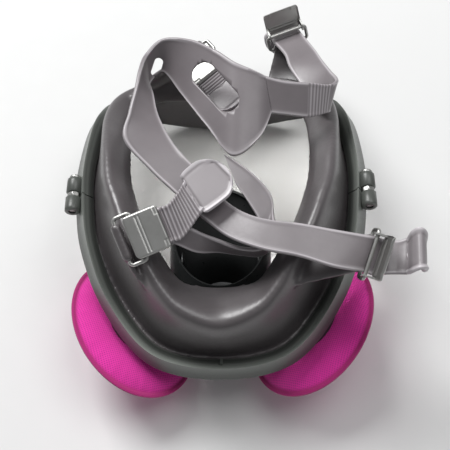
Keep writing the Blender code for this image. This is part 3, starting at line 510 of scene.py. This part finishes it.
BUCKLES = {
    "lower_left": Buckle((-42, 13, 107), (0.926, 0.336, 0.144), (0.033, -0.468, 0.883), 4.8),
    "lower_right": Buckle((80.6, 0.8, 105), (0.14, -0.493, 0.853), (0.93, -0.22, -0.28), 1.4),
    "upper_left": Buckle((-13, 146, 86), (0.58, -0.8, 0), (0.033, -0.468, 0.883), 4.8),
    "upper_right": Buckle((44, 185, 68.2), (-0.215, 0.28, 0.927), (-0.25, 0.9, -0.33), 1.4),
}
HEM = -9.5
HEM_RADIUS = 3.2
RING_WIDTH = 26.8
RING_BEND = 2.0
WIRE_RADIUS = 1.1
grid = [seal_line(2 * math.pi * i / 260, 10) for i in range(260)]
count = len(grid[0])
taper = [1.2 if j < count - 9 else 1.2 - 0.05 * (j - count + 9) for j in range(count)]
points, faces = skin(thick(grid, taper, True), True)
# Ears: the root's first and last angles on the seal, its place up the wall, and the ear's bulge.
for name, start, end, height, lift in (("lower_left", 241, 217, 17, (-1, -1, 1)),
                                       ("lower_right", 329, 300, 17, (0, 0, 0)),
                                       ("upper_left", 134, 115, 12, (0, 3, 3)),
                                       ("upper_right", 73, 48, 17, (0, 0, -2))):
    buckle = BUCKLES[name]
    hem = buckle.at(HEM, 0, 0)
    rows = []
    for i in range(33):
        share = i / 32
        turn = math.radians(start + (end - start) * share)
        root = seal_line(turn, 10)[height] - Vector((math.cos(turn), math.sin(turn), 0)) * 0.4
        tip = hem + buckle.w * 20 * (share - 0.5)
        middle = root.lerp(tip, 0.5) + Vector(lift)
        rows.append([Vector(p) for p in spline([list(root), list(middle), list(tip)], 16)])
    size = [1.7 - 0.5 * math.sin(math.pi * min(1, j / 20)) for j in range(len(rows[0]))]
    add_skin(points, faces, thick(rows, size, False))
    rolls = []
    for w, r in ((-10.6, 1.2), (-10.3, 2.4), (-9.6, HEM_RADIUS), (9.6, HEM_RADIUS), (10.3, 2.4), (10.6, 1.2)):
        rolls.append([hem + buckle.w * w + (buckle.l * math.cos(t) + buckle.n * math.sin(t)) * r
                      for t in (2 * math.pi * k / 32 for k in range(32))])
    add_skin(points, faces, rolls)
seal = solid("seal_moulding", points, faces, seal_look, "seal_rubber", stands_for=("face_seal",))
melt = seal.modifiers.new("melt", "REMESH")
melt.mode = "VOXEL"
melt.voxel_size = 0.00113
melt.use_smooth_shade = True
relax = seal.modifiers.new("relax", "SMOOTH")
relax.factor = 0.5
relax.iterations = 9
bake(seal)
seal.data.shade_smooth()

# Nose cup: thin black silicone seated on the adapter, swelling to an oval rim round the nose and mouth.
# A check flap sits inside each cheek. Each loop is its centre's y, its half axes, its height and its tilt.
silicone_look = grained("black_silicone", (0.011, 0.012, 0.012), (0.026, 0.028, 0.028), 0.34, 600, 0.00005)
CUP_SEAT = 18.6
CUP_THICK = 2.0
CUP_LOOPS = ((1, 24.5, 24.5, 45, 0), (8, 27, 28, 53, 0.03), (20, 28.5, 32, 61, 0.06), (29, 28, 32, 67, 0.06),
             (31, 26.5, 30.5, 70, 0.06))
grid = []
for k in range(144):
    t = 2 * math.pi * k / 144
    out = Vector((math.cos(t), math.sin(t)))
    seat = out * CUP_SEAT
    line = [lens_point(*seat) + Vector((0, 0, 6.4)) / lens_normal(*seat).z]
    for y, half_x, half_y, z, tilt in CUP_LOOPS:
        line.append(Vector((out.x * half_x, y + out.y * half_y, z + out.y * half_y * tilt)))
    grid.append([Vector(p) for p in spline([list(p) for p in line], 9)])
taper = [CUP_THICK / 2 - 0.012 * max(0, j - 20) for j in range(len(grid[0]))]
solid("nose_cup_moulding", *skin(thick(grid, taper, True), True), silicone_look, "black_silicone",
      stands_for=("nose_cup",))

# Adapter, ports, valve seat and cover: satin black plastic. Gaskets and flaps: soft black silicone.
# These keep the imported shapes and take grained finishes.
plastic_look = grained("dark_plastic", (0.018, 0.02, 0.021), (0.036, 0.038, 0.04), 0.42, 900, 0.00004)
for name in ("center_adapter", "adapter_ring", "exhalation_valve_seat", "exhalation_cover", "side_port_left",
             "side_port_right", "filter_base_left", "filter_base_right"):
    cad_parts[name].material_slots[0].material = plastic_look
for name in ("adapter_gasket", "exhalation_valve", "port_gasket_left", "port_gasket_right",
             "inhalation_valve_left", "inhalation_valve_right", "nose_cup_valve_left",
             "nose_cup_valve_right"):
    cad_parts[name].material_slots[0].material = silicone_look

# Filters: an oval pancake of woven cloth on each bayonet base, two discs sewn and welded at a flat seam.
# The cloth is slightly puckered towards the seam, which is darker.
made, tree, shader = shader_of("filter_cloth")
uv = wire(tree, "ShaderNodeUVMap", uv_map="weave").outputs["UV"]
threads = []
for direction in ("X", "Y"):
    threads.append(wire(tree, "ShaderNodeTexWave", {"Vector": uv, "Scale": 260.0, "Distortion": 0.6,
                                                    "Detail": 2.0}, bands_direction=direction).outputs["Fac"])
weave = wire(tree, "ShaderNodeMath", {0: threads[0], 1: threads[1]}, operation="MAXIMUM").outputs[0]
fluff = wire(tree, "ShaderNodeTexNoise", {"Vector": uv, "Scale": 45.0, "Detail": 6.0}).outputs["Fac"]
tone = wire(tree, "ShaderNodeMix", {0: fluff, 6: (0.6, 0.012, 0.27, 1), 7: (0.92, 0.035, 0.46, 1)},
            data_type="RGBA").outputs[2]
tone = wire(tree, "ShaderNodeMix", {0: weave, 6: (0.42, 0.008, 0.2, 1), 7: tone}, data_type="RGBA").outputs[2]
border = wire(tree, "ShaderNodeAttribute", attribute_name="rim").outputs["Fac"]
tone = wire(tree, "ShaderNodeMix", {0: border, 6: tone, 7: (0.36, 0.006, 0.14, 1)},
            data_type="RGBA").outputs[2]
height = wire(tree, "ShaderNodeMath", {0: weave, 1: fluff}, operation="ADD").outputs[0]
bump = wire(tree, "ShaderNodeBump", {"Height": height, "Strength": 0.6, "Distance": 0.0002})
tree.links.new(tone, shader.inputs["Base Color"])
tree.links.new(bump.outputs["Normal"], shader.inputs["Normal"])
shader.inputs["Roughness"].default_value = 0.85
shader.inputs["Sheen Weight"].default_value = 0.35
cloth_look = made
PAD_LONG = 48
PAD_SHORT = 38.5
PAD_CENTRE = 17.5
PAD_SHIFT = 6
BASE_TOP = 8.5 + 0.3 + 2.2
PAD_GAP = 0.3
for side, name in ((1, "right"), (-1, "left")):
    axis = Vector((port_axis.x * side, *port_axis.yz))
    first = Vector((0.36 * side, 0.93, 0))
    first = (first - axis * first.dot(axis)).normalized()
    second = axis.cross(first)
    heart = Vector((PORT_X * side, PORT_Y, port_z)) + axis * PAD_CENTRE + second * PAD_SHIFT * side
    inner = BASE_TOP + PAD_GAP - PAD_CENTRE
    points = []
    shades = []
    for k in range(288):
        t = 2 * math.pi * k / 288
        pucker = 0.18 * math.sin(36 * t) + 0.1 * math.sin(23 * t + 1) + 0.08 * math.sin(61 * t)
        # Each ring of the pancake: its share of the oval, its height along the axis and its rim value.
        for share, h, rim in (
                (0.001, inner, 0), (0.3, inner, 0), (0.62, inner, 0), (0.76, inner * 0.84, 0),
                (0.85, inner * 0.6 + pucker * 0.5, 0), (0.91, -2 + pucker * 0.5, 0), (0.935, -1, 0.6),
                (0.95, -0.8, 1), (0.965, -1, 1), (0.985, -0.9, 1), (1, -0.5, 1), (1, 0.5, 1), (0.985, 0.9, 1),
                (0.965, 1, 1), (0.95, 0.8, 1), (0.935, 1, 0.6), (0.91, 2.4 + pucker, 0),
                (0.88, 3.7 + pucker, 0), (0.83, 5.1 + pucker * 0.6, 0), (0.74, 6.5 + pucker * 0.3, 0),
                (0.62, 7.4, 0), (0.45, 7.85, 0), (0.25, 8, 0), (0.001, 8, 0)):
            out = first * PAD_LONG * share * math.cos(t) + second * PAD_SHORT * share * math.sin(t)
            points.append(heart + out + axis * h)
            shades.append(rim)
    faces = []
    for k in range(288):
        for j in range(23):
            a = k * 24 + j
            b = (k + 1) % 288 * 24 + j
            faces.append((a, a + 1, b + 1, b))
    for j, way in ((0, 1), (23, -1)):
        faces.append(tuple(k * 24 + j for k in range(288))[::way])
    pad = solid(f"filter_cloth_{name}", points, faces, cloth_look, "filter_cloth", f"filter_{name}",
                (f"filter_pad_{name}",), shades)
    layer = pad.data.uv_layers.new(name="weave")
    for corner, loop in enumerate(pad.data.loops):
        offset = pad.data.vertices[loop.vertex_index].co * 1000 - heart
        layer.data[corner].uv = (offset.dot(first) * 0.001 + 0.1, offset.dot(second) * 0.001 + 0.1)

# Buckles: a bent wire ring through each ear's hem, and a stamped plate that pivots on the ring's inner bar.
# The plate has rolled edges, two pressed lines near the bar and a pair of turned-down ears.
ring_tree = bpy.data.node_groups.new("wire_ring", "GeometryNodeTree")
sockets(ring_tree,
        {"Length": "Float", "Width": "Float", "Bend": "Float", "Wire": "Float", "Finish": "Material"},
        {"Ring": "Geometry"})
given = wire(ring_tree, "NodeGroupInput").outputs
path = wire(ring_tree, "GeometryNodeCurvePrimitiveQuadrilateral", {"Width": given["Length"],
                                                                   "Height": given["Width"]}).outputs["Curve"]
path = wire(ring_tree, "GeometryNodeFilletCurve", {"Curve": path, "Count": 9, "Radius": given["Bend"]},
            mode="POLY").outputs["Curve"]
section = wire(ring_tree, "GeometryNodeCurvePrimitiveCircle", {"Resolution": 16,
                                                               "Radius": given["Wire"]}).outputs["Curve"]
bent = wire(ring_tree, "GeometryNodeCurveToMesh", {"Curve": path, "Profile Curve": section}).outputs["Mesh"]
bent = wire(ring_tree, "GeometryNodeRealizeInstances", {"Geometry": bent}).outputs["Geometry"]
bent = wire(ring_tree, "GeometryNodeSetMaterial", {"Geometry": bent, "Material": given["Finish"]}).outputs[0]
wire(ring_tree, "NodeGroupOutput", {"Ring": bent})


def wire_ring(name, buckle):
    """The ring bent from one length of round wire, laid in the buckle's own plane."""
    ring = bpy.data.objects.new(name, bpy.data.meshes.new(name))
    scene.collection.objects.link(ring)
    bend = ring.modifiers.new("bend", "NODES")
    bend.node_group = ring_tree
    sizes = {"Length": -HEM * 0.001, "Width": RING_WIDTH * 0.001, "Bend": RING_BEND * 0.001,
             "Wire": WIRE_RADIUS * 0.001, "Finish": steel_look}
    for item in ring_tree.interface.items_tree:
        if item.in_out == "INPUT":
            bend[item.identifier] = sizes[item.name]
    bake(ring)
    turn = Matrix((buckle.l, buckle.w, buckle.n)).transposed().to_4x4()
    ring.data.transform(Matrix.Translation(buckle.at(HEM / 2, 0, 0) * 0.001) @ turn)
    ring.data.shade_smooth()
    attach(ring, "mask")
    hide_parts(f"buckle_{name}")


PLATE_HALF = 12
PLATE_REACH = 15
PLATE_TOP = 5.35
PLATE_THICK = 0.95
for name, buckle in BUCKLES.items():
    wire_ring(f"ring_{name}", buckle)
    loops = []
    for i in range(61):
        w = PLATE_HALF * (i / 30 - 1)
        side_drop = max(0, abs(w) - 11) ** 2 * 0.9
        upper = []
        lower = []
        bite = 3.2 - math.sqrt(max(0.0, 3.2 ** 2 - max(0.0, abs(w) - 8.8) ** 2))
        for j in range(57):
            # The pressed lines fade out short of the plate's sides.
            l = -buckle.rear + bite + (PLATE_REACH + buckle.rear - 1.6 * bite) * j / 56
            line = math.exp(-((l - 2.2) / 0.35) ** 2) + math.exp(-((l - 4.2) / 0.35) ** 2)
            line *= 1 if abs(w) < 10.2 else 0
            step = 0.25 if l > 12.2 and abs(w) > 7 else 0
            end_drop = max(0, l - 13.8) ** 2 * 0.7 + max(0, -buckle.rear + 1 - l) ** 2 * 0.6
            top = PLATE_TOP - side_drop - end_drop - 0.35 * line - step
            upper.append(buckle.at(l, w, top))
            lower.append(buckle.at(l, w, top - PLATE_THICK))
        loops.append(upper + lower[::-1])
    points, faces = skin(loops, False)
    for side in (-1, 1):
        ear = [(-2.3, -1.4), (-1.5, -2.4), (0, -2.7), (1.8, -2.5), (2.9, -1.6), (4.4, 4.4), (-2.0, 4.4)]
        add_skin(points, faces, [[buckle.at(l, w, n) for l, n in ear] for w in (side * 10.9, side * 11.9)])
    solid(f"plate_{name}", points, faces, steel_look, "steel", f"lever_{name}", (f"buckle_lever_{name}",))

# Head harness: one grey rubber moulding, laid loosely over the open mask. Every band has a raised edge with a
# painted highlight along it and ends, past its buckle, in a flat pull tab. Three bands show the cross ribs
# that the buckle grips, with painted highlights on their crests.
harness_look = grained("harness_rubber", (0.125, 0.11, 0.117), (0.21, 0.188, 0.198), 0.48, 700, 0.00008,
                       rim=(0.5, 0.47, 0.49), bloom=0.5)


def band(name, stations, *stands_for, ribs=(), thick=2.0, tab=None, nose=0.0):
    """A strap between two edge lines, with rounded raised edges, cross ribs between the given lengths from
    its start, from the length tab onwards a dished pull tab with a rim, and a round nose of this length."""
    dense = spline([[*a, *b] for a, b in stations], 24)
    rows = [(Vector(p[:3]), Vector(p[3:])) for p in dense]
    mids = [(a + b) / 2 for a, b in rows]
    run = [0.0]
    for p, q in zip(mids, mids[1:]):
        run.append(run[-1] + (q - p).length)
    steps = max(8, int(run[-1] / (0.6 if run[-1] > 80 else 0.35)))
    loops = []
    shades = []
    place = 0
    samples = []
    for i in range(steps + 1):
        goal = run[-1] * i / steps
        while place < len(run) - 2 and run[place + 1] < goal:
            place += 1
        share = (goal - run[place]) / max(1e-6, run[place + 1] - run[place])
        samples.append((rows[place][0].lerp(rows[place + 1][0], share),
                        rows[place][1].lerp(rows[place + 1][1], share), goal))
    columns = 20
    for i, (a, b, goal) in enumerate(samples):
        from_end = run[-1] - goal
        if from_end < nose:
            waist = math.sqrt(max(0.0004, 1 - (1 - from_end / nose) ** 2))
            a, b = (a + b) / 2 + (a - b) / 2 * waist, (a + b) / 2 + (b - a) / 2 * waist
        ahead = samples[min(i + 1, steps)]
        behind = samples[max(i - 1, 0)]
        along = (ahead[0] + ahead[1] - behind[0] - behind[1]).normalized()
        width = (b - a).length
        across = (b - a).normalized()
        normal = along.cross(across).normalized()
        upper = []
        lower = []
        painted_light = []
        for j in range(columns + 1):
            t = -math.cos(math.pi * j / columns)
            inset = (1 - abs(t)) * width / 2
            round_off = math.sqrt(max(0.0, 1 - (1 - min(1, inset / 0.9)) ** 2))
            rim = math.exp(-((inset - 1.0) / 0.7) ** 2)
            high = thick / 2 - 0.25 + 0.4 * rim
            # The tone paints a highlight along the raised edges. The ribs and the tab below replace it with
            # painted highlights on the rib crests and round the tab's rim, and with painted shade in the dip
            # inside that rim.
            tone = 0.85 * rim
            for start, end, pitch in ribs:
                if start < goal < end:
                    rib = 0.5 + 0.5 * math.cos(2 * math.pi * (goal - start) / pitch)
                    high += 0.95 * rib - 0.45
                    tone = 0.8 * rib ** 2
            if tab is not None and goal > tab - 1.5:
                reach = min(inset, from_end + 0.01, goal - tab + 3.2 + 2 * abs(math.sin(3 * t)))
                dip = 0.25 * math.exp(-((reach - 2.9) / 0.5) ** 2)
                high += 0.5 / (1 + math.exp((reach - 2.4) * 5)) - dip
                tone = 0.9 / (1 + math.exp((reach - 2.3) * 5)) - dip + 0.2
            middle = a.lerp(b, (t + 1) / 2)
            upper.append(middle + normal * high * round_off)
            lower.append(middle - normal * (thick / 2 - 0.15 + 0.2 * rim) * round_off)
            painted_light.append(tone)
        loops.append(upper + lower[::-1])
        shades += painted_light + painted_light[::-1]
    points, faces = skin(loops, False)
    return solid(name, points, faces, harness_look, "harness_rubber", stands_for=stands_for, shades=shades)


def wrap(buckle):
    """Strap edges that go half way round the ring's bar, from below it to above it."""
    return [buckle.edges(2.4 * math.cos(t), -2.4 * math.sin(t))
            for t in (math.pi * (0.5 + step / 8) for step in range(9))]


lower_left = BUCKLES["lower_left"]
lower_right = BUCKLES["lower_right"]
upper_left = BUCKLES["upper_left"]
upper_right = BUCKLES["upper_right"]
far = HEM / 2 + 0.2
crown = band("crown_and_lower_right_strap", [
    ((27, 113, 114), (31, 95, 101)), ((20, 116, 116), (23, 78, 99)), ((10, 121, 117), (8, 68, 98)),
    ((-1, 131, 116), (-6, 89, 96)), ((-16, 141, 114), (-22, 115, 94)), ((-33, 144, 112), (-34, 133, 94)),
    ((-43, 135.5, 109), (-42.5, 125.5, 93)), ((-46, 122, 112), (-41, 117, 97)),
    ((-48, 108, 112), (-39, 111, 100)), ((-51, 90, 112), (-35, 95, 101)), ((-53, 73, 110), (-27, 77, 103)),
    ((-38, 55, 106), (-19, 65, 104)), ((-26, 43, 104), (-12, 57, 103)), ((-15, 32, 103), (-3, 45, 103)),
    ((-5, 22, 103), (6, 34, 104)), ((7, 12, 104), (16, 26, 106)), ((24, 4, 106), (28, 21, 108)),
    ((43, -1, 107), (44, 18, 109)), ((61, -6, 104), (62, 15, 107)),
    (lower_right.at(far, 10, -0.3), lower_right.at(far, -10, -0.3))], "harness_crown", "strap_lower_right",
    thick=2.2)
through = Vector((0.033, -0.468, 0.883))
for centre, direction, half, radius in (((-1.5, 111, 106), (0.62, -0.69, -0.365), 11, 7),
                                        ((-37.5, 132, 101), (0.35, 0.6, 0.72), 3.5, 2.6)):
    direction = Vector(direction).normalized()
    side = through.cross(direction).normalized()
    rings = []
    for depth in (-25, 25):
        ring = []
        for k in range(64):
            t = 2 * math.pi * (k + 0.5) / 64
            ring.append(Vector(centre) + through * depth + side * radius * math.sin(t)
                        + direction * ((half if math.cos(t) > 0 else -half) + radius * math.cos(t)))
        rings.append(ring)
    cut_through(crown, rings)

band("lower_left_strap", [
    ((10, 52, 93), (3, 72, 95)), ((17, 40, 92), (18, 59, 96)), ((22, 30, 91), (29, 46, 94)),
    ((24, 23, 88), (31, 33, 92)), ((28, 15, 86), (31, 18, 98)), ((22, 11, 85), (24, 9, 99)),
    ((12, 12, 85), (12, 9, 99)), ((0, 13, 86), (-1, 14, 100)), ((-12, 10, 92), (-13, 18, 105)),
    lower_left.edges(14, -2.4), lower_left.edges(7, -2.4), *wrap(lower_left)], "strap_lower_left")
band("lower_left_tail", [
    lower_left.edges(0.3, 2.4), lower_left.edges(9, 2.4), lower_left.edges(16, 2.4),
    lower_left.edges(22, 3.2), ((-7, 25, 112), (-18, 42, 114)), ((-4.5, 23.5, 113), (-19, 46.5, 115)),
    ((7, 32.5, 114), (-11.5, 53.5, 116)), ((13.5, 40, 114.5), (-3.5, 59.5, 116))],
    "strap_tail_lower_left", ribs=((16, 37.5, 2.1),), tab=39, nose=12)
band("lower_right_tail", [
    (lower_right.at(far, 10, 0.15), lower_right.at(far, -10, 0.15)),
    (lower_right.at(far, 10, 6), lower_right.at(far, -10, 6)), ((88, -8, 99), (92, 11, 101)),
    ((94, -8, 99), (97, 11, 101)), ((99.5, -9, 101), (101.5, 12, 103)), ((101.5, -10, 106), (103, 13, 108)),
    ((104.5, -10, 109), (106, 13.5, 111)), ((107.5, -9, 106), (109, 12.5, 108)),
    ((108, -7, 99), (109.5, 10, 101)), ((107.5, -3, 95), (108.5, 6, 96))], "strap_tail_lower_right", tab=22)
band("upper_left_strap", [
    ((4, 82, 92), (18, 92, 96)), ((0, 90, 84), (15, 100, 88)), upper_left.edges(42, -4),
    upper_left.edges(30, -3), upper_left.edges(15, -2.4), upper_left.edges(6, -2.4), *wrap(upper_left)],
    "strap_upper_left")
band("upper_left_tail", [
    upper_left.edges(0.3, 2.4), upper_left.edges(9, 2.4), upper_left.edges(16, 2.4),
    upper_left.edges(21, 2.8), upper_left.edges(26, 3, 24), upper_left.edges(34, 3, 26),
    upper_left.edges(43, 3, 24)], "strap_tail_upper_left", ribs=((13.8, 25, 2.1),), tab=26, nose=7)
band("upper_right_strap", [
    ((27.6, 112.8, 113.7), (31.6, 95, 100.8)), ((39, 111, 111), (40, 95, 99)), ((54, 113, 106), (53, 96, 95)),
    ((65, 116, 100), (63, 102, 90)), ((71, 121, 97), (66, 106, 86)), ((72, 128, 92), (62, 113, 78)),
    ((70, 137, 86), (54, 129, 76)), ((66, 150, 80), (45, 150, 73)), ((62, 166, 72.5), (42, 165, 69)),
    (upper_right.at(far, 10, -0.3), upper_right.at(far, -10, -0.3))], "strap_upper_right",
    ribs=((23.5, 41.5, 2.25),))
band("upper_right_tail", [
    (upper_right.at(far, 10, 0.15), upper_right.at(far, -10, 0.15)),
    *((upper_right.at(l, w, n), upper_right.at(l, -w, n)) for l, w, n in (
        (-4.6, 10, 7), (-6, 11.5, 14), (-11, 12.5, 19), (-19, 12, 20), (-25, 8, 18.5), (-27, 4, 18)))],
    "strap_tail_upper_right", tab=16)
